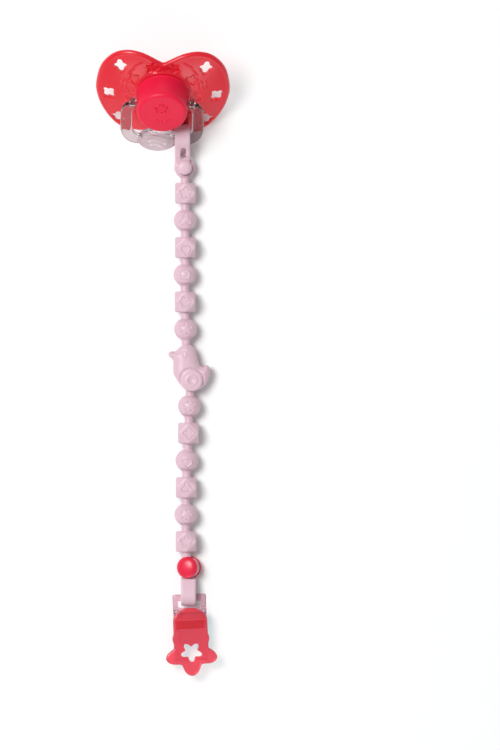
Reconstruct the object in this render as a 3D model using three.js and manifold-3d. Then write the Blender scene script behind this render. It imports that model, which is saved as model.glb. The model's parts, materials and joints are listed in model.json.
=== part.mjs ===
// A baby's pacifier with its holder strap, as it lies on a table: the shield leans back on its lower
// edge and its teat, the grab ring hangs from two pins in the knob, and a beaded silicone strap runs
// from the ring to a press snap and a clip that fastens to clothing.
// Millimetres. +X right, +Y towards the top of the shield, +Z up. The table is z = 0.
import * as THREE from "three";
import { mergeVertices } from "three/addons/utils/BufferGeometryUtils.js";
import Module from "manifold-3d";

const wasm = await Module();
wasm.setup();

const running = 0.3;               // gap kept between neighbouring pieces

// Soother: the leaning group, whose own z is the way the knob faces
const lean = 42;                   // degrees that the shield leans back
const sootherTurn = -1.5;          // degrees about the vertical
const sootherX = 0.3;              // the strap is drawn from x = 0
const centreHeight = 21.15;        // shield centre above the table
const shield = { width: 60, thickness: 2.2, bendAcross: 150, bendAlong: 240, hole: 7.5 };
const seat = { radius: 12.6, thickness: 1.5 };
const innerStars = { circle: 14.8, angles: [18, 60, 100, 140], tip: 3.0, valley: 2.0, depth: 0.9 };
const vents = { places: [[19.1, 13.2], [24.1, -3.4], [19.7, -17.4]], tip: 3.3, valley: 2.2 };
const knob = { base: 11.8, face: 11.2, height: 13.6, lip: 12.0, bore: 9.7, ceiling: 11.8 };
const teat = { flange: 9.3, neck: 7.2, bore: 5.9, length: 22.4, flatten: 0.2, droop: 5.0 };
const collar = { radius: 9.4, bore: 7.0, from: 3.9, to: 8.2 };
const pivot = { height: 5.8, pin: 1.2, from: 7.4, to: 14.4 };

// Grab ring, drawn hanging down from its pivots
const ringTilt = 8;                // degrees closer to the shield than parallel
const ring = { outer: 18.7, inner: 13.4, thickness: 2.2, boss: 2.5, bossFrom: 12.1, bossTo: 14.6 };
const ringDrop = { side: 15.8, barTop: 21.7, barBottom: 27.3 };
const pad = { x: -1.9, drop: 24.6, across: 9.0, along: 7.9, thick: 2.3 };

// Strap
const strandHeight = 5.1;          // centre line of the beads above the table
const neckRadius = 2.1;
const neckGap = 0.3;               // half of the cut between two links
const roundBead = 5.1;
const facetBead = 4.65;
const band = { thickness: 1.3, topWidth: 7.0, endWidth: 6.8 };
const loop = { x: 9.2, tabX: 10.1, tabY: -32.5, tabRadius: 4.65, tabLow: 3.4, tabHigh: 5.6, endHeight: 6.55 };
const firstNeckY = -38.35;
const beads = [
  { shape: "facet", x: 10.4, y: -44.0 },
  { shape: "round", x: 10.3, y: -56.2 },
  { shape: "facet", x: 10.4, y: -68.4 },
  { shape: "round", x: 10.2, y: -80.6 },
  { shape: "facet", x: 10.3, y: -92.8 },
  { shape: "round", x: 10.5, y: -104.9 },
  { shape: "bird", x: 12.0, y: -122.0 },
  { shape: "round", x: 12.2, y: -139.5 },
  { shape: "facet", x: 11.8, y: -151.7 },
  { shape: "round", x: 11.1, y: -163.9 },
  { shape: "facet", x: 10.8, y: -176.1 },
  { shape: "round", x: 10.6, y: -188.2 },
  { shape: "facet", x: 10.7, y: -200.3 },
];
const birdNecks = { topX: 10.8, topY: -111.1, bottomX: 12.7, bottomY: -133.5 };
const birdWheel = { x: 13.3, y: -127.9, radius: 4.85, thickness: 8.8 };
const birdThickness = 7.6;
const lastNeckY = -206.4;

// Snap and the strap's lower end
const snap = { x: 12.1, y: -211.9, tilt: 20, cap: 4.9, socket: 4.9, stud: 1.5, hole: 1.9, tab: 4.5 };
const layer = { lower: 3.4, upper: 5.3 };       // middles of the two strap layers under the snap
const endBandX = 11.8;

// Clip, turned a little about its strap bar
const clip = { x: 12.2, y: -225.4, turn: 2.3, width: 15.1, barHeight: 3.9 };
const plate = { low: 1.6, high: 4.0, end: -28.2, corner: 2.0 };
const frameBar = { width: 3.1, low: 2.95, high: 4.85 };
const slot = { width: 10.2, length: 2.9 };
const hinge = { y: -7.2, z: 7.0, pin: 0.65, ear: 1.3, pocket: 1.6, earFrom: 4.3, earTo: 5.9 };
const lever = { low: 6.3, high: 8.9, width: 15.6, top: -4.5 };
const leverStar = { y: -24.4, tip: 12.0, valley: 7.6, squash: 0.9, holeTip: 4.9, holeValley: 2.8 };
const press = { low: 5.4, half: 5, from: -12.8, to: -19.8, barHalf: 6.3, barFrom: -10.1, barTo: -14.1 };
const jawTeeth = { first: -13.2, pitch: 2.4, count: 3, height: 0.8, width: 10 };

const degrees = Math.PI / 180;

// ---------- geometry helpers ----------

// A closed three.js geometry as a manifold solid
function solidOf(geometry) {
  const bare = geometry.clone();
  bare.deleteAttribute("normal");
  bare.deleteAttribute("uv");
  const welded = mergeVertices(bare, 1e-4);
  const corners = welded.index.array;
  const kept = [];
  for (let i = 0; i < corners.length; i += 3) {
    const [a, b, c] = [corners[i], corners[i + 1], corners[i + 2]];
    if (a !== b && b !== c && c !== a) kept.push(a, b, c);
  }
  const vertProperties = new Float32Array(welded.attributes.position.array);
  return new wasm.Manifold(new wasm.Mesh({ numProp: 3, vertProperties, triVerts: new Uint32Array(kept) }));
}

function geometryOf(solid) {
  const mesh = solid.getMesh();
  const geometry = new THREE.BufferGeometry();
  geometry.setAttribute("position", new THREE.BufferAttribute(new Float32Array(mesh.vertProperties), 3));
  geometry.setIndex(new THREE.BufferAttribute(new Uint32Array(mesh.triVerts), 1));
  geometry.computeVertexNormals();
  return geometry;
}

// A box given by its low and high corners
function block(low, high) {
  const geometry = new THREE.BoxGeometry(high[0] - low[0], high[1] - low[1], high[2] - low[2]);
  geometry.translate((low[0] + high[0]) / 2, (low[1] + high[1]) / 2, (low[2] + high[2]) / 2);
  return solidOf(geometry);
}

// A flat outline raised from one height to another
function prism(shape, low, high) {
  const settings = { depth: high - low, bevelEnabled: false, curveSegments: 5 };
  const geometry = new THREE.ExtrudeGeometry(shape, settings);
  geometry.translate(0, 0, low);
  return solidOf(geometry);
}

// A profile of [radius, height] points turned about the z axis
function turned(profile, segments = 24) {
  const points = profile.map(([radius, height]) => new THREE.Vector2(radius, height));
  const geometry = new THREE.LatheGeometry(points, segments);
  geometry.rotateX(Math.PI / 2);
  return solidOf(geometry);
}

function disc(radius, low, high, segments = 20) {
  return turned([[0, low], [radius, low], [radius, high], [0, high]], segments);
}

// A round bar along x or y from one coordinate to another
function bar(axis, radius, from, to, segments = 12) {
  const geometry = new THREE.CylinderGeometry(radius, radius, to - from, segments);
  geometry.translate(0, (from + to) / 2, 0);
  if (axis === "x") geometry.rotateZ(-Math.PI / 2);
  return solidOf(geometry);
}

// A star with rounded tips as a polar curve; turn is the direction of its first tip, and a lower
// fullness gives broader tips
function star(tips, tip, valley, turn, stepsPerTip = 8, fullness = 1) {
  const points = [];
  const steps = tips * stepsPerTip;
  for (let i = 0; i < steps; i++) {
    const angle = (i / steps) * 2 * Math.PI;
    const bulge = (0.5 + 0.5 * Math.cos(tips * angle)) ** fullness;
    const radius = valley + (tip - valley) * bulge;
    const way = angle + turn * degrees;
    points.push(new THREE.Vector2(radius * Math.cos(way), radius * Math.sin(way)));
  }
  return new THREE.Shape(points);
}

// A flat band of given thickness whose middle follows [y, z] points, centred on x
function bandAlong(route, thickness, width, x, steps) {
  const curve = new THREE.CatmullRomCurve3(route.map(([y, z]) => new THREE.Vector3(y, z, 0)));
  const left = [];
  const right = [];
  for (let i = 0; i <= steps; i++) {
    const point = curve.getPointAt(i / steps);
    const along = curve.getTangentAt(i / steps);
    const side = new THREE.Vector2(-along.y, along.x).multiplyScalar(thickness / 2);
    left.push(new THREE.Vector2(point.x + side.x, point.y + side.y));
    right.push(new THREE.Vector2(point.x - side.x, point.y - side.y));
  }
  const outline = new THREE.Shape([...left, ...right.reverse()]);
  const geometry = new THREE.ExtrudeGeometry(outline, { depth: width, bevelEnabled: false });
  const sideways = new THREE.Matrix4().makeBasis(
    new THREE.Vector3(0, 1, 0), new THREE.Vector3(0, 0, 1), new THREE.Vector3(1, 0, 0));
  geometry.applyMatrix4(sideways);
  geometry.translate(x - width / 2, 0, 0);
  return solidOf(geometry);
}

// ---------- materials and scene graph ----------

const crimson = new THREE.MeshStandardMaterial({ color: 0xd23050, roughness: 0.5 });
const clearRed = new THREE.MeshStandardMaterial({ color: 0xe8465a, roughness: 0.25 });
const clearPlastic = new THREE.MeshStandardMaterial({ color: 0xe6dde0, roughness: 0.12 });
const clearPink = new THREE.MeshStandardMaterial({ color: 0xdf9ab2, roughness: 0.18 });
const pinkSilicone = new THREE.MeshStandardMaterial({ color: 0xe8c0ce, roughness: 0.65 });
const clearSilicone = new THREE.MeshStandardMaterial({ color: 0xf0e8e0, roughness: 0.3 });
const glossRed = new THREE.MeshStandardMaterial({ color: 0xee2f50, roughness: 0.15 });
const whitePlastic = new THREE.MeshStandardMaterial({ color: 0xe9e7e4, roughness: 0.45 });

const pacifier = new THREE.Group();

const soother = new THREE.Group();
soother.position.set(sootherX, 0, centreHeight);
soother.rotation.set(lean * degrees, 0, sootherTurn * degrees, "ZXY");
pacifier.add(soother);

const grab = new THREE.Group();
grab.position.z = pivot.height;
grab.rotation.x = ringTilt * degrees;
soother.add(grab);

const clipGroup = new THREE.Group();
clipGroup.position.set(clip.x, clip.y, 0);
clipGroup.rotation.z = clip.turn * degrees;
pacifier.add(clipGroup);

function addPiece(parent, name, solid, material) {
  const mesh = new THREE.Mesh(geometryOf(solid), material.clone());
  mesh.name = name;
  parent.add(mesh);
}

// ---------- shield: a dished plate with three vents a side and blind stars round the knob ----------

function shieldOutline() {
  const half = shield.width / 2;
  const rightSide = [
    [0, 16.6], [2.4, 17.7], [6.0, 19.6], [10.0, 21.1], [15.4, 21.5], [21.2, 19.4], [25.8, 14.6],
    [28.6, 8.6], [half, 0], [29.5, -6.0], [27.4, -12.5], [23.6, -19.1], [19.2, -23.3], [14.0, -24.6],
  ];
  const outline = [...rightSide, [0, -24.2]];
  for (const [x, y] of rightSide.slice(1).reverse()) outline.push([-x, y]);
  const curve = new THREE.CatmullRomCurve3(outline.map(([x, y]) => new THREE.Vector3(x, y, 0)), true);
  const points = curve.getPoints(46).slice(0, -1);
  return new THREE.Shape(points.map((point) => new THREE.Vector2(point.x, point.y)));
}

function shieldSurface(x, y) {
  return -(x * x) / shield.bendAcross - (y * y) / shield.bendAlong;
}

function dishedSlab(thickness) {
  const geometry = new THREE.BoxGeometry(70, 60, thickness, 8, 6, 1);
  geometry.translate(0, 0, -thickness / 2);
  const position = geometry.attributes.position;
  for (let i = 0; i < position.count; i++) {
    position.setZ(i, position.getZ(i) + shieldSurface(position.getX(i), position.getY(i)));
  }
  return solidOf(geometry);
}

function buildShield() {
  let body = dishedSlab(shield.thickness).intersect(prism(shieldOutline(), -20, 20));
  body = body.add(disc(seat.radius, -seat.thickness, 0, 32));
  body = body.subtract(disc(shield.hole, -20, 20, 24));
  for (const side of [-1, 1]) {
    for (const [x, y] of vents.places) {
      const turn = Math.atan2(y, side * x) / degrees + 45;
      const vent = prism(star(4, vents.tip, vents.valley, turn, 4), -20, 20);
      body = body.subtract(vent.translate(side * x, y, 0));
    }
    for (const angle of innerStars.angles) {
      const x = side * innerStars.circle * Math.sin(angle * degrees);
      const y = innerStars.circle * Math.cos(angle * degrees);
      const turn = Math.atan2(y, x) / degrees + 45;
      const floor = shieldSurface(x, y) - innerStars.depth;
      const recess = prism(star(4, innerStars.tip, innerStars.valley, turn, 4), floor, 20);
      body = body.subtract(recess.translate(x, y, 0));
    }
  }
  return body;
}

addPiece(soother, "shield", buildShield(), clearRed);

// ---------- teat, its core and the collar that clamps it ----------

function buildTeat() {
  const tip = -teat.length;
  const outside = [[5.7, -6], [5.4, -7.8], [6.7, -11.2], [7.7, -14.6], [7.0, -18.4], [4.0, -21.3]];
  const inside = [[3.2, -20.1], [5.7, -17.8], [6.4, -14.6], [5.4, -11.4], [4.2, -7.8], [4.5, -6]];
  const profile = [
    [teat.bore, 1.8], [teat.flange, 1.8], [teat.flange, 0.3], [teat.neck, 0.3], [teat.neck, -2.6],
    ...outside, [0, tip], [0, tip + 1.2], ...inside, [teat.bore, -2.6],
  ];
  const points = profile.reverse().map(([radius, height]) => new THREE.Vector2(radius, height));
  points.push(points[0].clone());
  const geometry = new THREE.LatheGeometry(points, 20);
  geometry.rotateX(Math.PI / 2);
  const position = geometry.attributes.position;
  for (let i = 0; i < position.count; i++) {
    const share = THREE.MathUtils.smoothstep(-position.getZ(i), 4, 14);
    const reach = Math.max(-position.getZ(i) - 4, 0) / (teat.length - 4);
    position.setY(i, position.getY(i) * (1 - teat.flatten * share) - teat.droop * reach * reach);
  }
  return solidOf(geometry);
}

addPiece(soother, "teat", buildTeat(), clearSilicone);

const coreBoss = teat.bore - running;
addPiece(soother, "teat_core",
  turned([[0, -2.0], [coreBoss, -2.0], [coreBoss, 2.1], [8.8, 2.1], [8.8, 3.6], [0, 3.6]], 20), whitePlastic);

function pinBore() {
  return bar("x", pivot.pin + running, -20, 20).translate(0, 0, pivot.height);
}

const collarRing = disc(collar.radius, collar.from, collar.to, 24)
  .subtract(disc(collar.bore, collar.from - 1, collar.to + 1, 24));
addPiece(soother, "collar", collarRing.subtract(pinBore()), whitePlastic);

// ---------- knob and the two pins that carry the grab ring ----------

const knobProfile = [
  [knob.bore, running], [knob.lip, running], [knob.lip, 1.1], [knob.base, 1.3],
  [knob.face + 0.2, knob.height - 2.0], [knob.face - 0.3, knob.height - 0.9],
  [knob.face - 1.5, knob.height - 0.3], [0, knob.height], [0, knob.ceiling], [knob.bore, knob.ceiling],
];
const knobCup = turned([...knobProfile, knobProfile[0]], 32);
addPiece(soother, "knob_cap", knobCup.subtract(pinBore()), crimson);

for (const [name, side] of [["pivot_pin_left", -1], ["pivot_pin_right", 1]]) {
  const ends = [side * pivot.from, side * pivot.to].sort((a, b) => a - b);
  addPiece(soother, name, bar("x", pivot.pin, ends[0], ends[1]).translate(0, 0, pivot.height), clearPlastic);
}

// ---------- grab ring with its oval grip pad ----------

function ringOutline() {
  const shape = new THREE.Shape();
  const { side, barTop, barBottom } = ringDrop;
  shape.moveTo(ring.bossFrom, 0.6);
  shape.lineTo(ring.bossTo, 0.6);
  shape.bezierCurveTo(17.2, -1.0, ring.outer, -4.0, ring.outer, -8.0);
  shape.lineTo(ring.outer, -side);
  shape.bezierCurveTo(ring.outer, -22.6, 16.0, -barBottom, 9.6, -barBottom);
  shape.lineTo(-9.6, -barBottom);
  shape.bezierCurveTo(-16.0, -barBottom, -ring.outer, -22.6, -ring.outer, -side);
  shape.lineTo(-ring.outer, -8.0);
  shape.bezierCurveTo(-ring.outer, -4.0, -17.2, -1.0, -ring.bossTo, 0.6);
  shape.lineTo(-ring.bossFrom, 0.6);
  shape.lineTo(-ring.bossFrom, -3.0);
  shape.quadraticCurveTo(-ring.inner, -4.4, -ring.inner, -7.0);
  shape.lineTo(-ring.inner, -side);
  shape.bezierCurveTo(-ring.inner, -19.4, -11.6, -barTop, -8.2, -barTop);
  shape.lineTo(8.2, -barTop);
  shape.bezierCurveTo(11.6, -barTop, ring.inner, -19.4, ring.inner, -side);
  shape.lineTo(ring.inner, -7.0);
  shape.quadraticCurveTo(ring.inner, -4.4, ring.bossFrom, -3.0);
  return shape;
}

function buildRing() {
  let body = prism(ringOutline(), -ring.thickness / 2, ring.thickness / 2);
  for (const ends of [[-ring.bossTo, -ring.bossFrom], [ring.bossFrom, ring.bossTo]]) {
    body = body.add(bar("x", ring.boss, ends[0], ends[1], 14));
  }
  const lens = new THREE.SphereGeometry(1, 20, 8);
  lens.rotateX(Math.PI / 2);
  lens.scale(pad.across, pad.along, pad.thick);
  lens.translate(pad.x, -pad.drop, 0);
  body = body.add(solidOf(lens));
  return body.subtract(bar("x", pivot.pin + running, -20, 20));
}

addPiece(grab, "grab_ring", buildRing(), clearPlastic);

// ---------- strap: the loop round the ring and the tab that it buttons on ----------

const loopRoute = [
  [-27.2, 4.3], [-25.4, 2.9], [-22.8, 1.6], [-19.6, 2.6], [-17.2, 5.4], [-15.0, 7.9], [-13.75, 10.8],
  [-15.0, 13.5], [-17.6, 14.5], [-20.6, 13.2], [-24.5, 9.6], [-28.0, 7.1], [-30.5, loop.endHeight],
  [loop.tabY, loop.endHeight],
];

function buildLoopBand() {
  const low = loop.endHeight - band.thickness / 2;
  const high = loop.endHeight + band.thickness / 2;
  let body = bandAlong(loopRoute, band.thickness, band.topWidth, loop.x, 30);
  body = body.add(disc(band.topWidth / 2, low, high).translate(loop.tabX, loop.tabY, 0));
  body = body.subtract(disc(snap.hole, low - 1, high + 1).translate(loop.tabX, loop.tabY, 0));
  const keyhole = block([loop.x - 1.3, -28.1, 6], [loop.x + 1.3, -24.5, 14]);
  return body.subtract(keyhole);
}

function buildLoopTab() {
  const { tabRadius, tabLow, tabHigh } = loop;
  const button = turned([
    [0, tabLow], [tabRadius, tabLow], [tabRadius, tabHigh], [1.6, tabHigh], [1.6, 7.5],
    [3.35, 7.5], [3.2, 8.3], [2.2, 9.0], [0, 9.4],
  ], 20);
  const stub = bar("y", neckRadius, firstNeckY + neckGap, loop.tabY - 3.9);
  return button.translate(loop.tabX, loop.tabY, 0).add(stub.translate(loop.tabX, 0, strandHeight));
}

addPiece(pacifier, "loop_band", buildLoopBand(), pinkSilicone);
addPiece(pacifier, "loop_tab", buildLoopTab(), pinkSilicone);

// ---------- strap: thirteen links, each with half a neck at both ends ----------

// A cube whose corners are cut back to the middles of its edges
function facetSolid() {
  const cube = solidOf(new THREE.BoxGeometry(2 * facetBead, 2 * facetBead, 2 * facetBead));
  return cube.intersect(solidOf(new THREE.OctahedronGeometry(2 * facetBead + 0.5)));
}

function roundSolid() {
  return solidOf(new THREE.SphereGeometry(roundBead, 12, 8));
}

// The bird's side view, relative to its own centre
function birdSolid(centre) {
  const outline = [
    [-1.0, 10.2], [-3.2, 9.4], [-4.9, 7.9], [-8.8, 6.2], [-6.9, 3.6], [-6.8, 0.4], [-5.6, -3.6],
    [-3.2, -7.0], [1.0, -9.4], [4.6, -8.5], [7.4, -5.8], [9.0, -2.2], [8.2, 0.4], [4.8, 1.4],
    [3.7, 4.6], [2.4, 8.4],
  ];
  const curve = new THREE.CatmullRomCurve3(outline.map(([x, y]) => new THREE.Vector3(x, y, 0)), true);
  const points = curve.getPoints(34).slice(0, -1).map((point) => new THREE.Vector2(point.x, point.y));
  const side = prism(new THREE.Shape(points), -birdThickness / 2, birdThickness / 2);
  const wheel = disc(birdWheel.radius, -birdWheel.thickness / 2, birdWheel.thickness / 2);
  return side.add(wheel.translate(birdWheel.x - centre.x, birdWheel.y - centre.y, 0));
}

function neckBetween(upper, lower) {
  return (upper.y + lower.y) / 2;
}

beads.forEach((bead, index) => {
  const above = beads[index - 1];
  const below = beads[index + 1];
  let neckTop = above ? neckBetween(above, bead) : firstNeckY;
  let neckBottom = below ? neckBetween(bead, below) : lastNeckY;
  let topX = bead.x;
  let bottomX = bead.x;
  let body = null;
  if (bead.shape === "round") body = roundSolid();
  if (bead.shape === "facet") body = facetSolid();
  if (bead.shape === "bird") {
    body = birdSolid(bead);
    neckTop = birdNecks.topY;
    neckBottom = birdNecks.bottomY;
    topX = birdNecks.topX;
    bottomX = birdNecks.bottomX;
  }
  if (above && above.shape === "bird") neckTop = birdNecks.bottomY;
  if (below && below.shape === "bird") neckBottom = birdNecks.topY;
  const reach = bead.shape === "bird" ? 8 : 0;
  const upper = bar("y", neckRadius, reach, neckTop - neckGap - bead.y).translate(topX - bead.x, 0, 0);
  const lower = bar("y", neckRadius, neckBottom + neckGap - bead.y, -reach).translate(bottomX - bead.x, 0, 0);
  body = body.add(upper).add(lower).translate(bead.x, bead.y, strandHeight);
  const number = String(index < 6 ? index + 1 : index).padStart(2, "0");
  addPiece(pacifier, bead.shape === "bird" ? "bird_bead" : `bead_${number}`, body, pinkSilicone);
});

// ---------- strap: its lower end, folded round the clip's bar and closed by a press snap ----------

// The snap lies tipped to one side, its head over to the left
function atSnap(solid) {
  const middle = (layer.lower + layer.upper) / 2;
  return solid.translate(0, 0, -middle).rotate([0, -snap.tilt, 0]).translate(snap.x, snap.y, middle);
}

function endLayer(height) {
  const low = height - band.thickness / 2;
  const high = height + band.thickness / 2;
  return atSnap(disc(snap.tab, low, high, 20));
}

function snapHole() {
  return atSnap(disc(snap.hole, 0, 12));
}

function buildEndTab() {
  const stub = bar("y", neckRadius, snap.y + snap.tab - 0.4, lastNeckY - neckGap);
  const body = endLayer(layer.upper).add(stub.translate(snap.x - 0.9, 0, strandHeight));
  const underHead = layer.upper + band.thickness / 2;
  const overLower = layer.lower + band.thickness / 2 + running;
  const headRoom = atSnap(disc(snap.cap + running, underHead, 12));
  const lowerRoom = atSnap(disc(snap.tab + running, 0, overLower));
  return body.subtract(snapHole()).subtract(headRoom).subtract(lowerRoom);
}

function buildEndBand() {
  const bend = clip.y;
  const middle = clip.barHeight;
  const reach = 2.35 + band.thickness / 2;
  const corner = reach * Math.SQRT1_2;
  const start = snap.y - snap.cap - running;
  const finish = snap.y - snap.tab + 0.5;
  const route = [
    [start, layer.upper], [bend + 4.6, 6.2], [bend + 2.0, middle + 2.8], [bend, middle + reach],
    [bend - corner, middle + corner], [bend - reach, middle], [bend - corner, middle - corner],
    [bend, middle - reach], [bend + 2.2, middle - 2.8], [bend + 6.0, 2.3], [finish, layer.lower],
  ];
  const strip = bandAlong(route, band.thickness, band.endWidth, endBandX, 28);
  const socketRoom = atSnap(disc(snap.socket + running, -1, layer.lower - band.thickness / 2));
  const upperRoom = atSnap(disc(snap.cap + running, layer.lower + band.thickness / 2, 12));
  return strip.add(endLayer(layer.lower)).subtract(snapHole()).subtract(socketRoom).subtract(upperRoom);
}

addPiece(pacifier, "end_tab", buildEndTab(), pinkSilicone);
addPiece(pacifier, "end_band", buildEndBand(), pinkSilicone);

const capBase = layer.upper + band.thickness / 2 + running;
const backTop = layer.lower - band.thickness / 2 - running;
const snapCap = turned([
  [0, capBase], [snap.cap, capBase], [snap.cap, capBase + 0.8], [snap.cap - 0.7, capBase + 1.7],
  [snap.cap - 2.2, capBase + 2.3], [0, capBase + 2.6],
], 24);
const snapStud = turned([
  [0, backTop - 0.9], [snap.socket, backTop - 0.9], [snap.socket, backTop], [snap.stud, backTop],
  [snap.stud, capBase - running], [0, capBase - running],
], 18);
addPiece(pacifier, "snap_cap", atSnap(snapCap), glossRed);
addPiece(pacifier, "snap_stud", atSnap(snapStud), glossRed);

// ---------- clip: base with its strap bar, lever with a star, and the pin between them ----------

function archShape(halfWidth, top, bottom, crown) {
  const shape = new THREE.Shape();
  shape.moveTo(-halfWidth, bottom);
  shape.lineTo(halfWidth, bottom);
  shape.lineTo(halfWidth, top - crown);
  shape.bezierCurveTo(halfWidth, top - crown * 0.4, halfWidth * 0.55, top, 0, top);
  shape.bezierCurveTo(-halfWidth * 0.55, top, -halfWidth, top - crown * 0.4, -halfWidth, top - crown);
  return shape;
}

// The base's plate below its frame, with rounded lower corners
function jawShape(half, top) {
  const shape = new THREE.Shape();
  shape.moveTo(-half, top);
  shape.lineTo(-half, plate.end + plate.corner);
  shape.quadraticCurveTo(-half, plate.end, -half + plate.corner, plate.end);
  shape.lineTo(half - plate.corner, plate.end);
  shape.quadraticCurveTo(half, plate.end, half, plate.end + plate.corner);
  shape.lineTo(half, top);
  return shape;
}

// The star-shaped hole through lever and base
function starHole(margin) {
  const outline = star(5, leverStar.holeTip + margin, leverStar.holeValley + margin, -90, 6);
  return prism(outline, 0, 12).scale([1, leverStar.squash, 1]).translate(0, leverStar.y, 0);
}

// A row of ridges across the jaw, standing on its face
function teethRow(first, faceHeight, tipHeight) {
  let row = null;
  for (let i = 0; i < jawTeeth.count; i++) {
    const y = first - i * jawTeeth.pitch;
    const shape = new THREE.Shape();
    shape.moveTo(y - 0.9, faceHeight);
    shape.lineTo(y, tipHeight);
    shape.lineTo(y + 0.9, faceHeight);
    const geometry = new THREE.ExtrudeGeometry(shape, { depth: jawTeeth.width, bevelEnabled: false });
    geometry.applyMatrix4(new THREE.Matrix4().makeBasis(
      new THREE.Vector3(0, 1, 0), new THREE.Vector3(0, 0, 1), new THREE.Vector3(1, 0, 0)));
    geometry.translate(-jawTeeth.width / 2, 0, 0);
    const ridge = solidOf(geometry);
    row = row ? row.add(ridge) : ridge;
  }
  return row;
}

function buildClipBase() {
  const half = clip.width / 2;
  const barHalf = frameBar.width / 2;
  const slotTop = -barHalf;
  const slotBottom = slotTop - slot.length;
  let body = block([-half, slotBottom, frameBar.low], [half, barHalf, frameBar.high]);
  body = body.add(prism(jawShape(half, slotBottom + 0.6), plate.low, plate.high));
  body = body.subtract(starHole(running));
  body = body.subtract(block([-slot.width / 2, slotBottom, 0], [slot.width / 2, slotTop, 8]));
  for (const side of [-1, 1]) {
    const middle = side * (hinge.earFrom + hinge.earTo) / 2;
    const halfEar = (hinge.earTo - hinge.earFrom) / 2;
    const low = [middle - halfEar, hinge.y - hinge.ear, plate.high - 0.5];
    const post = block(low, [middle + halfEar, hinge.y + hinge.ear, hinge.z]);
    const eye = bar("x", hinge.ear, middle - halfEar, middle + halfEar).translate(0, hinge.y, hinge.z);
    body = body.add(post).add(eye);
    const footTop = plate.low + 0.2;
    body = body.add(block([side * 6 - 0.7, -19.6, 0], [side * 6 + 0.7, slotBottom - 1, footTop]));
  }
  body = body.add(teethRow(jawTeeth.first, plate.high - 0.05, plate.high + jawTeeth.height));
  return body.subtract(bar("x", hinge.pin + running, -9, 9).translate(0, hinge.y, hinge.z));
}

function buildLever() {
  const half = lever.width / 2;
  let body = prism(archShape(half, lever.top, leverStar.y, 6.5), lever.low, lever.high);
  const outer = star(5, leverStar.tip, leverStar.valley, -90, 8, 0.75);
  const starPlate = prism(outer, lever.low, lever.high).scale([1, leverStar.squash, 1]);
  body = body.add(starPlate.translate(0, leverStar.y, 0));
  const pressTop = lever.low + 0.1;
  body = body.add(block([-press.half, press.to, press.low], [press.half, press.from, pressTop]));
  body = body.add(block([-press.barHalf, press.barTo, press.low], [press.barHalf, press.barFrom, pressTop]));
  body = body.subtract(starHole(0));
  for (const side of [-1, 1]) {
    const ends = [side * (hinge.earFrom - running), side * (hinge.earTo + running)].sort((a, b) => a - b);
    const round = bar("x", hinge.pocket, ends[0], ends[1]).translate(0, hinge.y, hinge.z);
    const mouth = block([ends[0], hinge.y - hinge.pocket, 0], [ends[1], lever.top + 1, hinge.z]);
    const backSlot = block([ends[0], hinge.y, 0], [ends[1], lever.top + 1, lever.high + 1]);
    body = body.subtract(round).subtract(mouth).subtract(backSlot);
  }
  return body.subtract(bar("x", hinge.pin + running, -9, 9).translate(0, hinge.y, hinge.z));
}

addPiece(clipGroup, "clip_base", buildClipBase(), clearPink);
addPiece(clipGroup, "clip_lever", buildLever(), clearRed);
addPiece(clipGroup, "clip_pin",
  bar("x", hinge.pin, -7.2, 7.2).translate(0, hinge.y, hinge.z), clearPink);

// ---------- the origin goes to the middle of the footprint, on the table ----------

pacifier.updateMatrixWorld(true);
const bounds = new THREE.Box3().setFromObject(pacifier, true);
const middle = bounds.getCenter(new THREE.Vector3());
pacifier.position.set(-middle.x, -middle.y, -bounds.min.z);

export default pacifier;
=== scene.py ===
import json
import math

import bpy
from mathutils import Matrix, Vector
from mathutils.kdtree import KDTree


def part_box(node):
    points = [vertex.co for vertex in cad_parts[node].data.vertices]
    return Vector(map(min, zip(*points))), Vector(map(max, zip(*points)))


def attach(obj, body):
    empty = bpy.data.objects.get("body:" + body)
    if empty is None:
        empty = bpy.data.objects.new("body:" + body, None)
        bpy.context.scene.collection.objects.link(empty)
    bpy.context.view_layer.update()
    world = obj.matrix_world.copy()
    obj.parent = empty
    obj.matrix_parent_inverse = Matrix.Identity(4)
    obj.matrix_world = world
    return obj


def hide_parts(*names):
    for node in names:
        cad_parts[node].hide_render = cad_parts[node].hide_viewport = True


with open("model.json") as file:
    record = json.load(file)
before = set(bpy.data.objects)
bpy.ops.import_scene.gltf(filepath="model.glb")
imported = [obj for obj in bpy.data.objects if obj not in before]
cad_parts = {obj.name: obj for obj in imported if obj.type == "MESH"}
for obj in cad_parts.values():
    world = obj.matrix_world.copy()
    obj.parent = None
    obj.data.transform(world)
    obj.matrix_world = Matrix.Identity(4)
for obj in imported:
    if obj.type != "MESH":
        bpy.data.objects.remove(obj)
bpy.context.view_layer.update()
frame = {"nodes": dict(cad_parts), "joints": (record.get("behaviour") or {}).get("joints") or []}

MM = 0.001

# ---- Studio ----
# A white table seen from straight above through a long lens. A wide soft lamp hangs at the upper
# left with a smaller one below it, and a low strip in front puts a sheen on what leans that way.

FRAME_MIDDLE = (0.0390, -0.0054)
CAMERA_HEIGHT = 6.0
FRAME_LENGTH = 0.3368          # what the long side of the view takes in, in metres
SENSOR = 36.0

bpy.ops.object.select_all(action="DESELECT")
bpy.ops.object.camera_add(location=(*FRAME_MIDDLE, CAMERA_HEIGHT), rotation=(0, 0, 0))
camera = bpy.context.object
camera.data.sensor_width = SENSOR
camera.data.lens = SENSOR * CAMERA_HEIGHT / FRAME_LENGTH
camera.data.clip_end = 50
bpy.context.scene.camera = camera


def soft_lamp(name, place, target, width, height, power):
    bpy.ops.object.light_add(type="AREA", location=place)
    lamp = bpy.context.object
    lamp.name = name
    lamp.data.shape = "ELLIPSE"
    lamp.data.size = width
    lamp.data.size_y = height
    lamp.data.energy = power
    way = Vector(target) - Vector(place)
    lamp.rotation_euler = way.to_track_quat("-Z", "Y").to_euler()
    return lamp


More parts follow.
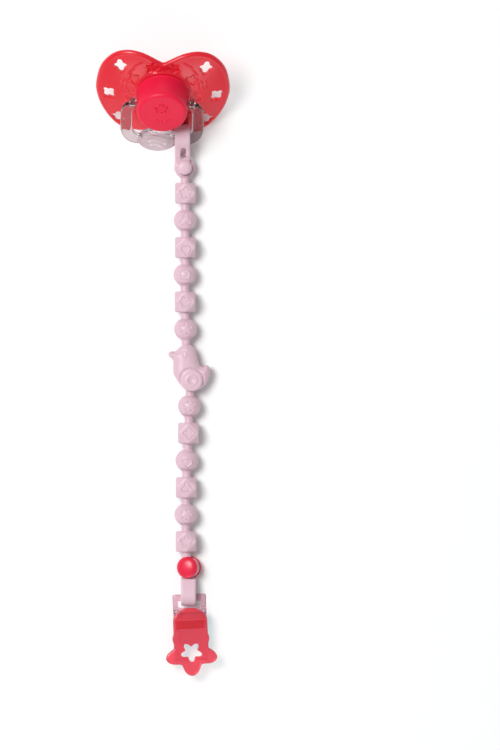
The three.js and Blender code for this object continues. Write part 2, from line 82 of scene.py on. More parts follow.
soft_lamp("key_lamp", (-0.66, 0.34, 1.5), (0, 0, 0), 0.5, 0.5, 4)
soft_lamp("wide_lamp", (-0.9, 0.6, 2.1), (0, 0, 0), 1.2, 1.2, 39)
soft_lamp("front_lamp", (0, -1.35, 0.46), (0, 0.1, 0), 1.6, 0.18, 5)

world = bpy.data.worlds.new("studio_air")
world.use_nodes = True
air = world.node_tree.nodes["Background"]
air.inputs["Color"].default_value = (0.97, 1, 0.99, 1)
air.inputs["Strength"].default_value = 0.35
bpy.context.scene.world = world
bpy.context.scene.view_settings.view_transform = "Standard"

bpy.ops.mesh.primitive_plane_add(size=8, location=(0, 0, 0))
table_top = bpy.context.object
table_top.name = "table_top"
table_paper = bpy.data.materials.new("table_paper")
table_paper.use_nodes = True
paper = table_paper.node_tree.nodes["Principled BSDF"]
paper.inputs["Base Color"].default_value = (0.93, 0.93, 0.93, 1)
paper.inputs["Roughness"].default_value = 0.9
paper.inputs["Specular IOR Level"].default_value = 0.1
table_top.data.materials.append(table_paper)

# ---- Shield ----
# One injection-moulded plate of translucent red plastic, dished towards the face, with rounded
# edges, three star-shaped air vents a side and a ring of blind stars round the knob's seat.

LEAN = math.radians(42)
TURN = math.radians(-1.5)
PIVOT_HEIGHT = 5.8
joints = {joint["name"]: joint for joint in frame["joints"]}
ring_pivot = Vector(joints["ring_hinge"]["pos_m"])
leaning = Matrix.Rotation(TURN, 4, "Z") @ Matrix.Rotation(LEAN, 4, "X")
soother_place = Matrix.Translation(ring_pivot) @ leaning @ Matrix.Translation((0, 0, -PIVOT_HEIGHT * MM))


def moulded_surface_group():
    """Colour that drifts a little, roughness that varies with it, and a fine skin for a bump."""
    group = bpy.data.node_groups.new("moulded_surface", "ShaderNodeTree")
    for name, kind in (("Colour", "NodeSocketColor"), ("Deep Colour", "NodeSocketColor"),
                       ("Roughness", "NodeSocketFloat"), ("Roughness Spread", "NodeSocketFloat"),
                       ("Skin Scale", "NodeSocketFloat")):
        group.interface.new_socket(name=name, in_out="INPUT", socket_type=kind)
    for name, kind in (("Colour", "NodeSocketColor"), ("Roughness", "NodeSocketFloat"),
                       ("Height", "NodeSocketFloat")):
        group.interface.new_socket(name=name, in_out="OUTPUT", socket_type=kind)
    nodes, links = group.nodes, group.links
    given = nodes.new("NodeGroupInput")
    result = nodes.new("NodeGroupOutput")
    place = nodes.new("ShaderNodeTexCoord")
    drift = nodes.new("ShaderNodeTexNoise")
    drift.inputs["Scale"].default_value = 90
    drift.inputs["Detail"].default_value = 4
    links.new(place.outputs["Object"], drift.inputs["Vector"])
    blend = nodes.new("ShaderNodeMix")
    blend.data_type = "RGBA"
    links.new(drift.outputs["Fac"], blend.inputs["Factor"])
    links.new(given.outputs["Colour"], blend.inputs["A"])
    links.new(given.outputs["Deep Colour"], blend.inputs["B"])
    links.new(blend.outputs["Result"], result.inputs["Colour"])
    skin = nodes.new("ShaderNodeTexNoise")
    skin.inputs["Detail"].default_value = 3
    links.new(place.outputs["Object"], skin.inputs["Vector"])
    links.new(given.outputs["Skin Scale"], skin.inputs["Scale"])
    links.new(skin.outputs["Fac"], result.inputs["Height"])
    spread = nodes.new("ShaderNodeMath")
    spread.operation = "MULTIPLY_ADD"
    links.new(drift.outputs["Fac"], spread.inputs[0])
    links.new(given.outputs["Roughness Spread"], spread.inputs[1])
    links.new(given.outputs["Roughness"], spread.inputs[2])
    links.new(spread.outputs["Value"], result.inputs["Roughness"])
    return group


moulded_surface = moulded_surface_group()


def moulded_finish(name, colour, deep, roughness, spread, skin_scale, skin_depth, **sockets):
    """A Principled material whose colour, roughness and bump come from the moulded surface."""
    finish = bpy.data.materials.new(name)
    finish.use_nodes = True
    nodes, links = finish.node_tree.nodes, finish.node_tree.links
    shader = nodes["Principled BSDF"]
    surface = nodes.new("ShaderNodeGroup")
    surface.node_tree = moulded_surface
    surface.inputs["Colour"].default_value = (*colour, 1)
    surface.inputs["Deep Colour"].default_value = (*deep, 1)
    surface.inputs["Roughness"].default_value = roughness
    surface.inputs["Roughness Spread"].default_value = spread
    surface.inputs["Skin Scale"].default_value = skin_scale
    bump = nodes.new("ShaderNodeBump")
    bump.inputs["Strength"].default_value = 0.5
    bump.inputs["Distance"].default_value = skin_depth * MM
    links.new(surface.outputs["Height"], bump.inputs["Height"])
    links.new(bump.outputs["Normal"], shader.inputs["Normal"])
    links.new(surface.outputs["Colour"], shader.inputs["Base Color"])
    links.new(surface.outputs["Roughness"], shader.inputs["Roughness"])
    for socket, value in sockets.items():
        shader.inputs[socket.replace("_", " ")].default_value = value
    return finish


def lamp_share(finish, tint):
    """Lets a share of the lamps' light through, less of the piece's own colour, which it throws anyway."""
    nodes, links = finish.node_tree.nodes, finish.node_tree.links
    shader, output = nodes["Principled BSDF"], nodes["Material Output"]
    path = nodes.new("ShaderNodeLightPath")
    clear = nodes.new("ShaderNodeBsdfTransparent")
    clear.inputs["Color"].default_value = (*tint, 1)
    mix = nodes.new("ShaderNodeMixShader")
    links.new(path.outputs["Is Shadow Ray"], mix.inputs["Fac"])
    links.new(shader.outputs["BSDF"], mix.inputs[1])
    links.new(clear.outputs["BSDF"], mix.inputs[2])
    links.new(mix.outputs["Shader"], output.inputs["Surface"])
    return finish


shield_red = lamp_share(
    moulded_finish("shield_red", (0.76, 0.012, 0.036), (0.72, 0.008, 0.023), 0.3, 0.1, 900, 0.012,
                   Transmission_Weight=0.15, IOR=1.5, Subsurface_Weight=0.25, Specular_IOR_Level=0.2,
                   Subsurface_Radius=(1.0, 0.12, 0.1), Subsurface_Scale=0.0015,
                   Coat_Weight=0.5, Coat_Roughness=0.22, Coat_IOR=1.5), (0.68, 0.75, 0.75))


def smooth_loop(points, steps):
    """A closed curve through given points."""
    loop = []
    count = len(points)
    for i in range(count):
        before, here, after, later = (Vector(points[(i + k - 1) % count]) for k in range(4))
        for step in range(steps):
            t = step / steps
            bend = 2 * before - 5 * here + 4 * after - later
            twist = 3 * here - before - 3 * after + later
            loop.append(0.5 * (2 * here + (after - before) * t + bend * t * t + twist * t ** 3))
    return loop


def ramp(distance, width):
    """Rises from 0 to 1 over a width."""
    return min(max(distance / width, 0), 1)


def swell(distance, width):
    """A soft ridge: 1 on its line, next to nothing two widths away."""
    return math.exp(-(distance / width) ** 2)


def edge_distance(outline):
    """Gives a function for how far a point lies from the outline."""
    tree = KDTree(len(outline))
    for i, point in enumerate(outline):
        tree.insert((point[0], point[1], 0), i)
    tree.balance()
    return lambda x, y: tree.find((x, y, 0))[2]


def pick(piece):
    """Selects one piece alone and makes it the active one."""
    bpy.ops.object.select_all(action="DESELECT")
    piece.select_set(True)
    bpy.context.view_layer.objects.active = piece


def flat_blank(name, outline, low, high, edge=0.0):
    """A plate of the given outline between two heights, its edges rounded."""
    bpy.ops.object.select_all(action="DESELECT")
    bpy.ops.mesh.primitive_circle_add(vertices=len(outline), radius=1, fill_type="NGON")
    blank = bpy.context.object
    blank.name = name
    for vertex, point in zip(blank.data.vertices, outline):
        vertex.co = (point[0], point[1], low)
    bpy.ops.object.mode_set(mode="EDIT")
    bpy.ops.mesh.select_all(action="SELECT")
    bpy.ops.mesh.extrude_region_move(TRANSFORM_OT_translate={"value": (0, 0, high - low)})
    bpy.ops.mesh.select_all(action="SELECT")
    bpy.ops.mesh.normals_make_consistent(inside=False)
    bpy.ops.object.mode_set(mode="OBJECT")
    if edge:
        rounding = blank.modifiers.new("rounding", "BEVEL")
        rounding.width = edge
        rounding.segments = 4
        rounding.limit_method = "ANGLE"
        rounding.angle_limit = math.radians(50)
        bpy.ops.object.modifier_apply(modifier="rounding")
    return blank


def turned_blank(name, profile, sides=64):
    """A round piece, its ring drawn up through [radius, height] steps and closed at both ends."""
    radius, height = profile[0]
    bpy.ops.object.select_all(action="DESELECT")
    bpy.ops.mesh.primitive_circle_add(vertices=sides, radius=radius, fill_type="NGON")
    blank = bpy.context.object
    blank.name = name
    blank.data.transform(Matrix.Translation((0, 0, height)))
    bpy.ops.object.mode_set(mode="EDIT")
    bpy.ops.mesh.select_all(action="SELECT")
    for next_radius, next_height in profile[1:]:
        bpy.ops.mesh.extrude_region_move(TRANSFORM_OT_translate={"value": (0, 0, next_height - height)})
        share = next_radius / radius
        bpy.ops.transform.resize(value=(share, share, 1), center_override=(0, 0, next_height))
        radius, height = next_radius, next_height
    bpy.ops.mesh.select_all(action="SELECT")
    bpy.ops.mesh.normals_make_consistent(inside=False)
    bpy.ops.object.mode_set(mode="OBJECT")
    return blank


def star_outline(tips, tip, valley, turn, fullness=1.0, steps=12):
    """A soft star whose radius swings between tip and valley."""
    points = []
    for i in range(tips * steps):
        angle = 2 * math.pi * i / (tips * steps)
        radius = valley + (tip - valley) * (0.5 + 0.5 * math.cos(tips * angle)) ** fullness
        points.append((radius * math.cos(angle + turn), radius * math.sin(angle + turn)))
    return points


def moved(piece, x=0.0, y=0.0, z=0.0):
    piece.data.transform(Matrix.Translation((x, y, z)))
    return piece


def joined(name, pieces):
    bpy.ops.object.select_all(action="DESELECT")
    for piece in pieces:
        piece.select_set(True)
    bpy.context.view_layer.objects.active = pieces[0]
    if len(pieces) > 1:
        bpy.ops.object.join()
    pieces[0].name = name
    return pieces[0]


def cut_away(piece, tools):
    """Takes the tools' shapes out of the piece."""
    tool = joined("cutting_tool", tools)
    pick(piece)
    cut = piece.modifiers.new("cut", "BOOLEAN")
    cut.operation = "DIFFERENCE"
    cut.solver = "EXACT"
    cut.object = tool
    bpy.ops.object.modifier_apply(modifier="cut")
    bpy.data.objects.remove(tool, do_unlink=True)
    return piece


def moulded(piece, fineness, passes, softness=0.5):
    """Casts joined blanks as one skin and lets its edges flow round."""
    pick(piece)
    skin = piece.modifiers.new("skin", "REMESH")
    skin.mode = "VOXEL"
    skin.voxel_size = fineness
    bpy.ops.object.modifier_apply(modifier="skin")
    flow = piece.modifiers.new("flow", "SMOOTH")
    flow.factor = softness
    flow.iterations = passes
    bpy.ops.object.modifier_apply(modifier="flow")
    return piece


def raised(piece, height_at, facing=0.5):
    """Lifts a shallow relief on the side that faces up; height_at gives its height over x, y."""
    piece.data.update()
    lifts = [(vertex, vertex.normal.copy()) for vertex in piece.data.vertices if vertex.normal.z > facing]
    for vertex, way in lifts:
        height = height_at(vertex.co.x, vertex.co.y)
        if height:
            vertex.co += way * height
    piece.data.update()
    return piece


def fitted(piece, place, body, slot, finish, *nodes):
    """Puts a finished piece where it belongs, gives it its finish and fixes it to its body."""
    piece.data.transform(place @ Matrix.Scale(MM, 4))
    pick(piece)
    bpy.ops.object.shade_smooth_by_angle(angle=math.radians(50))
    piece.data.materials.clear()
    piece.data.materials.append(finish)
    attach(piece, body)
    if nodes:
        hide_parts(*nodes)
    return piece


SHIELD_THICKNESS = 2.2
SHIELD_HALF_OUTLINE = [
    (0, 16.6), (2.4, 17.7), (6.0, 19.6), (10.0, 21.1), (15.4, 21.5), (21.2, 19.4), (25.8, 14.6),
    (28.6, 8.6), (30.0, 0), (29.5, -6.0), (27.4, -12.5), (23.6, -19.1), (19.2, -23.3), (14.0, -24.6),
]
SHIELD_CHIN = (0, -24.2)
SHIELD_HOLE = 7.5
SEAT_PROFILE = [(7.6, -1.6), (12.6, -1.6), (12.6, 0.1), (12.2, 0.45), (7.6, 0.45)]
SEAT_REACH = 12.9
CUT = 9                        # how far a cutting tool reaches past the plate
VENTS = [(19.1, 13.2), (24.1, -3.4), (19.7, -17.4)]
VENT_TIP, VENT_VALLEY = 3.2, 2.1
BLIND_STARS = [math.radians(angle) for angle in (18, 60, 100, 140)]
BLIND_STAR_CIRCLE = 14.8
BLIND_STAR_DEPTH = 0.45
BLIND_TIP, BLIND_VALLEY = 3.2, 1.9

# raised wavy lines on either side: from and to what angle, at what radius, how many ripples
WAVES = [
    (1.22, 1.5, 16.2, 26), (1.2, 1.52, 18.0, 26), (1.26, 1.48, 19.6, 26), (0.8, 0.98, 18.4, 0),
    (1.93, 2.12, 17.8, 26), (1.91, 2.1, 19.4, 26), (0.52, 0.72, 19.2, 0),
]
WAVE_HEIGHT, WAVE_WIDTH, WAVE_SWING, WAVE_END = 0.2, 0.26, 0.28, 0.05
RIM_BEAD, RIM_BEAD_WIDTH, RIM_BEAD_INSET = 0.12, 0.3, 1.1


def shield_dish(x, y):
    return -x * x / 150 - y * y / 240


def make_shield():
    mirrored = [(-x, y) for x, y in reversed(SHIELD_HALF_OUTLINE[1:])]
    outline = smooth_loop(SHIELD_HALF_OUTLINE + [SHIELD_CHIN] + mirrored, 5)
    plate = flat_blank("shield_skin", outline, -SHIELD_THICKNESS, 0, edge=0.95)
    hole = [(SHIELD_HOLE, -CUT), (SHIELD_HOLE, CUT)]
    tools = [turned_blank("hole", hole)]
    for side in (-1, 1):
        for x, y in VENTS:
            turn = math.atan2(y, side * x) + math.pi / 4
            vent = flat_blank("vent", star_outline(4, VENT_TIP, VENT_VALLEY, turn, 0.8), -CUT, CUT)
            vent.data.transform(Matrix.Diagonal((0.94, 1.12, 1, 1)))
            tools.append(moved(vent, side * x, y))
        for angle in BLIND_STARS:
            x, y = side * BLIND_STAR_CIRCLE * math.sin(angle), BLIND_STAR_CIRCLE * math.cos(angle)
            star = star_outline(5, BLIND_TIP, BLIND_VALLEY, math.atan2(y, x) + math.pi / 4)
            tools.append(moved(flat_blank("recess", star, -BLIND_STAR_DEPTH, CUT), x, y))
    cut_away(plate, tools)
    seat = turned_blank("seat", SEAT_PROFILE)
    cut_away(seat, [turned_blank("hole", hole)])
    plate = moulded(joined("shield_skin", [plate, seat]), 0.27, 4)
    from_rim = edge_distance(outline)

    def moulded_lines(x, y):
        """A bead along the rim, and short waves between the blind stars and the vents."""
        angle, radius = math.atan2(abs(x), y), math.hypot(x, y)
        height = RIM_BEAD * swell(from_rim(x, y) - RIM_BEAD_INSET, RIM_BEAD_WIDTH)
        for start, end, ring, ripples in WAVES:
            ends = min(ramp(angle - start + WAVE_END, WAVE_END), ramp(end + WAVE_END - angle, WAVE_END))
            line = ring + WAVE_SWING * math.sin(ripples * angle)
            height += WAVE_HEIGHT * ends * swell(radius - line, WAVE_WIDTH)
        return height

    raised(plate, moulded_lines)
    for vertex in plate.data.vertices:
        vertex.co.z += shield_dish(vertex.co.x, vertex.co.y)
        if math.hypot(vertex.co.x, vertex.co.y) < SEAT_REACH:
            vertex.co.z = min(vertex.co.z, 0)
    return plate


fitted(make_shield(), soother_place, "soother", "shield_red", shield_red, "shield")

# ---- Teat and its core ----
# A hollow clear silicone bulb, flattened towards its tip. Its flange is held down round the
# shield's hole by a plug, which the collar above presses home.

def painted_edge_shade(finish, tint):
    """Darkens a clear finish towards the tint where its surface turns away from the view: painted shade for
    the dark rims that its edges show.
    """
    nodes, links = finish.node_tree.nodes, finish.node_tree.links
    shader = nodes["Principled BSDF"]
    plain = shader.inputs["Base Color"].links[0].from_socket
    turning = nodes.new("ShaderNodeLayerWeight")
    turning.inputs["Blend"].default_value = 0.32
    mix = nodes.new("ShaderNodeMix")
    mix.data_type = "RGBA"
    mix.inputs["B"].default_value = (*tint, 1)
    links.new(turning.outputs["Facing"], mix.inputs["Factor"])
    links.new(plain, mix.inputs["A"])
    links.new(mix.outputs["Result"], shader.inputs["Base Color"])
    return finish


clear_silicone = lamp_share(
    moulded_finish("clear_silicone", (0.90, 0.80, 0.81), (0.88, 0.76, 0.78), 0.2, 0.12, 1400, 0.01,
                   Transmission_Weight=0.8, IOR=1.41), (0.9, 0.86, 0.85))
TEAT_LENGTH = 22.4
TEAT_NECK = 4.0                # how far below the shield it starts to flatten and droop
TEAT_FLATTEN, TEAT_FLATTEN_OVER = 0.2, 10
TEAT_DROOP = 5.0
TEAT_OUTSIDE = [(5.7, -6), (5.4, -7.8), (6.05, -9.5), (6.7, -11.2), (7.4, -13), (7.7, -14.6),
                (7.6, -16.6), (7.0, -18.4), (5.7, -20.2), (4.0, -21.4), (2.1, -22.2), (0.6, -22.4)]
TEAT_INSIDE = [(0.6, -21.2), (1.8, -21.0), (3.2, -20.1), (4.7, -18.9), (5.7, -17.6), (6.4, -15.9),
               (6.4, -14.6), (6.0, -12.9), (5.4, -11.4), (4.6, -9.5), (4.2, -7.8), (4.5, -6),
               (5.9, -2.6)]
TEAT_FLANGE = [(5.9, 1.8), (9.2, 1.8), (9.3, 1.2), (9.2, 0.3), (7.2, 0.3), (7.2, -2.6)]


def make_teat():
    blank = turned_blank("teat_skin", TEAT_INSIDE + TEAT_FLANGE + TEAT_OUTSIDE, 72)
    for vertex in blank.data.vertices:
        below = -vertex.co.z - TEAT_NECK
        share = ramp(below, TEAT_FLATTEN_OVER)
        reach = max(below / (TEAT_LENGTH - TEAT_NECK), 0)
        width = 1 - TEAT_FLATTEN * share * share * (3 - 2 * share)
        vertex.co.y = vertex.co.y * width - TEAT_DROOP * reach * reach
    return blank


fitted(make_teat(), soother_place, "soother", "teat_silicone", clear_silicone, "teat")

white_plastic = moulded_finish("white_plastic", (0.86, 0.85, 0.83), (0.80, 0.79, 0.77),
                               0.35, 0.15, 700, 0.02)


def refinished(finish, *nodes):
    """Gives a finish to solids that keep their own shape."""
    for node in nodes:
        materials = frame["nodes"][node].data.materials
        materials.clear()
        materials.append(finish)


refinished(white_plastic, "teat_core", "collar")

# ---- Knob ----
# An opaque crimson cup with a satin face, a soft upper edge and a thin lip at its foot. It snaps
# over the collar. Its face carries a small raised star over an arc of five dots.

knob_crimson = moulded_finish("knob_crimson", (0.80, 0.012, 0.056), (0.74, 0.009, 0.046),
                              0.38, 0.1, 1100, 0.02, Specular_IOR_Level=0.25, Subsurface_Weight=0.1,
                              Subsurface_Radius=(1.0, 0.2, 0.2), Subsurface_Scale=0.0008)
KNOB_PROFILE = [
    (9.7, 11.8), (9.7, 0.35), (11.85, 0.35), (12.0, 0.5), (12.0, 1.0), (11.85, 1.15), (11.75, 1.4),
    (11.55, 6.0), (11.4, 11.0), (11.3, 11.8), (11.05, 12.5), (10.5, 13.1), (9.8, 13.35), (8.0, 13.5),
    (5.0, 13.58), (2.0, 13.6), (0.4, 13.6),
]
PIN_BORE = 1.5
KNOB_BORE_X = 11
KNOB_STAR = (-0.5, 3.2)
KNOB_STAR_RADIUS = 2.3
KNOB_LINE, KNOB_LINE_WIDTH = 0.5, 0.24
KNOB_DOTS = [(4.4 * math.sin(angle), 1.6 - 6.4 * math.cos(angle))
             for angle in (-0.72, -0.36, 0, 0.36, 0.72)]
KNOB_DOT_RADIUS = 0.5


def knob_relief(x, y):
    """Height of the star's outline and of the dots at a point of the face."""
    across, along = x - KNOB_STAR[0], y - KNOB_STAR[1]
    tips = math.cos(5 * (math.atan2(along, across) - math.pi / 2))
    outline = KNOB_STAR_RADIUS * (1 + 0.26 * tips)
    height = KNOB_LINE * swell(math.hypot(across, along) - outline, KNOB_LINE_WIDTH)
    for dot_x, dot_y in KNOB_DOTS:
        height += KNOB_LINE * math.exp(-(math.hypot(x - dot_x, y - dot_y) / KNOB_DOT_RADIUS) ** 4)
    return height


def finer_top(piece, reach, facing=0.9):
    """Splits the faces that look up near the middle, where the relief goes."""
    pick(piece)
    for face in piece.data.polygons:
        face.select = face.normal.z > facing and face.center.xy.length < reach
    bpy.ops.object.mode_set(mode="EDIT")
    bpy.ops.mesh.select_mode(type="FACE")
    bpy.ops.mesh.subdivide(number_cuts=1)
    bpy.ops.object.mode_set(mode="OBJECT")
    return piece


def pin_bore(x, height):
    """A cutting tool for the hole that one of the ring's pins sits in."""
    bore = turned_blank("pin_bore", [(PIN_BORE, -3), (PIN_BORE, 3)], 32)
    bore.data.transform(Matrix.Translation((x, 0, height)) @ Matrix.Rotation(math.pi / 2, 4, "Y"))
    return bore


def make_knob():
    blank = turned_blank("knob_skin", KNOB_PROFILE, 72)
    for side in (-1, 1):
        cut_away(blank, [pin_bore(side * KNOB_BORE_X, PIVOT_HEIGHT)])
    knob = finer_top(moulded(blank, 0.24, 4), 9.6, 0.97)
    return raised(knob, knob_relief, 0.9)


fitted(make_knob(), soother_place, "soother", "knob_crimson", knob_crimson, "knob_cap")

# ---- Grab ring ----
# One flat ring of clear hard plastic on two pins, thick oval grip pad and all. The pad is dished on
# its face and bends what shows through it.

# The ring's plastic goes over to (0.36, 0.26, 0.31) where it turns away from the view: painted shade at its
# edges.
clear_plastic = lamp_share(painted_edge_shade(
    moulded_finish("clear_plastic", (0.67, 0.635, 0.65), (0.63, 0.60, 0.62), 0.02, 0.05, 260, 0.04,
                   Transmission_Weight=1.0, IOR=1.49), (0.36, 0.26, 0.31)), (0.92, 0.91, 0.915))


def depth_and_shade_group():
    """Goes over to a deeper colour as the depth attribute rises, which marks thick plastic and also painted
    shade at rims and creases.
    """
    group = bpy.data.node_groups.new("plastic_depth_and_shade", "ShaderNodeTree")
    for name in ("Colour", "Thickness And Shade Colour"):
        group.interface.new_socket(name=name, in_out="INPUT", socket_type="NodeSocketColor")
    group.interface.new_socket(name="Colour", in_out="OUTPUT", socket_type="NodeSocketColor")
    nodes, links = group.nodes, group.links
    given = nodes.new("NodeGroupInput")
    result = nodes.new("NodeGroupOutput")
    depth = nodes.new("ShaderNodeAttribute")
    depth.attribute_name = "depth"
    blend = nodes.new("ShaderNodeMix")
    blend.data_type = "RGBA"
    links.new(depth.outputs["Fac"], blend.inputs["Factor"])
    links.new(given.outputs["Colour"], blend.inputs["A"])
    links.new(given.outputs["Thickness And Shade Colour"], blend.inputs["B"])
    links.new(blend.outputs["Result"], result.inputs["Colour"])
    return group


plastic_depth_and_shade = depth_and_shade_group()


def deepened(finish, thickness_and_shade_colour):
    """Puts the deeper colour of thick plastic and of painted shade between a finish's own colour and its
    shader.
    """
    nodes, links = finish.node_tree.nodes, finish.node_tree.links
    shader = nodes["Principled BSDF"]
    plain = shader.inputs["Base Color"].links[0].from_socket
    thick = nodes.new("ShaderNodeGroup")
    thick.node_tree = plastic_depth_and_shade
    thick.inputs["Thickness And Shade Colour"].default_value = (*thickness_and_shade_colour, 1)
    links.new(plain, thick.inputs["Colour"])
    links.new(thick.outputs["Colour"], shader.inputs["Base Color"])
    return finish


def mark_depth(piece, depth_at):
    """Writes the depth attribute; depth_at gives it over x, y."""
    depth = piece.data.attributes.new("depth", "FLOAT", "POINT")
    for vertex, value in zip(piece.data.vertices, depth.data):
        value.value = depth_at(vertex.co.x, vertex.co.y)
    return piece


# The pad's deeper colour: a band of painted shade at its rim, and streaks along its swirl.
deepened(clear_plastic, (0.40, 0.29, 0.33))
RING_TILT = math.radians(8)
ring_place = Matrix.Translation(ring_pivot) @ leaning @ Matrix.Rotation(RING_TILT, 4, "X")
RING_HALF_THICKNESS = 1.2
BOSS_X = 13.35
BOSS_PROFILE = [(2.2, -1.25), (2.5, -0.95), (2.5, 0.95), (2.2, 1.25)]
PAD = {"x": -1.9, "drop": 24.6, "across": 9.0, "along": 7.9, "thick": 2.3}


def arc_points(start, first, second, end, steps=8):
    """The points of one bezier stretch, its first one left out."""
    points = []
    for i in range(1, steps + 1):
        t = i / steps
        s = 1 - t
        points.append(tuple(
            s ** 3 * a + 3 * s * s * t * b + 3 * s * t * t * c + t ** 3 * d
            for a, b, c, d in zip(start, first, second, end)))
    return points


def ring_outline():
    outer = [(12.1, 0.6), (14.6, 0.6)]
    outer += arc_points((14.6, 0.6), (17.2, -1.0), (18.7, -4.0), (18.7, -8.0))
    outer += arc_points((18.7, -15.8), (18.7, -22.6), (16.0, -27.3), (9.6, -27.3))
    inner = [(8.2, -21.7)]
    inner += arc_points((8.2, -21.7), (11.6, -21.7), (13.4, -19.4), (13.4, -15.8))
    inner += arc_points((13.4, -7.0), (13.4, -5.6), (12.9, -4.2), (12.1, -3.0), 4)
    mirrored_outer = [(-x, y) for x, y in reversed(outer)]
    mirrored_inner = [(-x, y) for x, y in reversed(inner)]
    return outer + mirrored_outer + mirrored_inner + inner


def streak(x, y):
    """Runs on across the slow swirl of the pad's thick casting."""
    return 2.3 * y + 0.5 * x + 1.1 * math.sin(0.6 * x)


def pad_share(x, y, across=1.0, along=1.0):
    """0 at the pad's middle, and 1 where those parts of its width and length end."""
    return math.hypot((x - PAD["x"]) / (PAD["across"] * across), (y + PAD["drop"]) / (PAD["along"] * along))


def pad_dish(x, y):
    """The pad's hollow face, rippled by the swirl."""
    hollow = 1 - min(pad_share(x, y, 0.8, 0.78), 1) ** 2
    return 0.15 * math.sin(streak(x, y)) * hollow - 1.1 * hollow ** 1.2


def pad_streaks_and_rim_shade(x, y):
    """The pad's paler and deeper streaks along its swirl, and a band of painted shade just inside its rim.
    """
    share = pad_share(x, y)
    if share >= 1.03:
        return 0.0
    return min(0.34 + 0.24 * math.sin(streak(x, y)) + 0.5 * swell(share - 0.94, 0.05), 1)


def make_ring():
    parts = [flat_blank("ring_skin", ring_outline(), -RING_HALF_THICKNESS, RING_HALF_THICKNESS, edge=1.0)]
    for side in (-1, 1):
        boss = turned_blank("boss", BOSS_PROFILE, 40)
        boss.data.transform(Matrix.Rotation(math.pi / 2, 4, "Y"))
        parts.append(moved(boss, side * BOSS_X))
    bpy.ops.mesh.primitive_uv_sphere_add(segments=72, ring_count=36, radius=1)
    lens = bpy.context.object
    lens.data.transform(Matrix.Translation((PAD["x"], -PAD["drop"], 0))
                        @ Matrix.Diagonal((PAD["across"], PAD["along"], PAD["thick"], 1)))
    parts.append(lens)
    ring = moulded(joined("ring_skin", parts), 0.24, 4)
    for side in (-1, 1):
        cut_away(ring, [pin_bore(side * BOSS_X, 0)])
    return mark_depth(raised(ring, pad_dish, 0.3), pad_streaks_and_rim_shade)


fitted(make_ring(), ring_place, "ring", "clear_plastic", clear_plastic, "grab_ring")
refinished(clear_plastic, "pivot_pin_left", "pivot_pin_right")

# ---- Loop and button tab ----
# The strap's upper end, of soft matte pink silicone. A flat band goes round the ring's bar, comes
# back over a round tab and hooks on the tab's mushroom button; a keyhole slot lets it stretch.

strap_silicone = moulded_finish("strap_silicone", (0.71, 0.497, 0.575), (0.675, 0.457, 0.535),
                                0.3, 0.12, 1500, 0.02, Subsurface_Weight=0.15,
                                Subsurface_Radius=(1.0, 0.6, 0.6), Subsurface_Scale=0.0008, IOR=1.45)
FIRST_NECK = Vector((10.25, -38.35))    # in the strap's own layout, which the sizes below follow
first_neck = Vector(joints["neck_01"]["pos_m"])
table_place = Matrix.Translation((first_neck.x - FIRST_NECK.x * MM, first_neck.y - FIRST_NECK.y * MM, 0))
sideways = Matrix(((0, 0, 1, 0), (1, 0, 0, 0), (0, 1, 0, 0), (0, 0, 0, 1)))
BAND_THICKNESS = 1.3
STRAND_HEIGHT = 5.1
HOLE_RADIUS = 1.9              # of the holes that the button and the snap go through
LOOP_X, LOOP_WIDTH = 9.2, 7.0
TAB_X, TAB_Y = 10.1, -32.5
LOOP_END_HEIGHT = 6.55
LOOP_ROUTE = [
    (-27.2, 4.3), (-25.4, 2.9), (-22.8, 1.6), (-19.6, 2.6), (-17.2, 5.4), (-15.0, 7.9), (-13.75, 10.8),
    (-15.0, 13.5), (-17.6, 14.5), (-20.6, 13.2), (-24.5, 9.6), (-28.0, 7.1), (-30.5, LOOP_END_HEIGHT),
    (TAB_Y, LOOP_END_HEIGHT),
]
KEYHOLE_Y = -26.2
KEYHOLE = [(-1.2, -1.6), (-0.85, -2.2), (0, -2.4), (0.85, -2.2), (1.2, -1.6),
           (1.2, 1.6), (0.85, 2.2), (0, 2.4), (-0.85, 2.2), (-1.2, 1.6)]
TAB_PROFILE = [
    (4.2, 3.4), (4.65, 3.8), (4.65, 5.2), (4.2, 5.6), (1.8, 5.6), (1.6, 5.9), (1.6, 7.4),
    (3.0, 7.4), (3.35, 7.7), (3.3, 8.2), (2.9, 8.8), (2.1, 9.25), (1.0, 9.4), (0.3, 9.4),
]


def ribbon(name, route, width, x):
    """A flat band with round edges along a route of y, z points, centred on x."""
    curve = bpy.data.curves.new(name, "CURVE")
    curve.dimensions = "3D"
    curve.twist_mode = "Z_UP"
    curve.resolution_u = 6
    curve.extrude = (width - BAND_THICKNESS) / 2
    curve.bevel_depth = BAND_THICKNESS / 2
    curve.bevel_resolution = 4
    curve.use_fill_caps = True
    spline = curve.splines.new("BEZIER")
    spline.bezier_points.add(len(route) - 1)
    for knot, (y, z) in zip(spline.bezier_points, route):
        knot.co = (y, z, 0)
        knot.handle_left_type = knot.handle_right_type = "AUTO"
    piece = bpy.data.objects.new(name, curve)
    bpy.context.collection.objects.link(piece)
    pick(piece)
    bpy.ops.object.convert(target="MESH")
    piece = bpy.context.object
    piece.data.transform(Matrix.Translation((x, 0, 0)) @ sideways)
    return piece


def band_end(name, radius, sides):
    """A round end for a band, with round edges."""
    half = BAND_THICKNESS / 2
    return turned_blank(name, [(radius - 0.3, -half), (radius, -half + 0.3), (radius, half - 0.3),
                               (radius - 0.3, half)], sides)


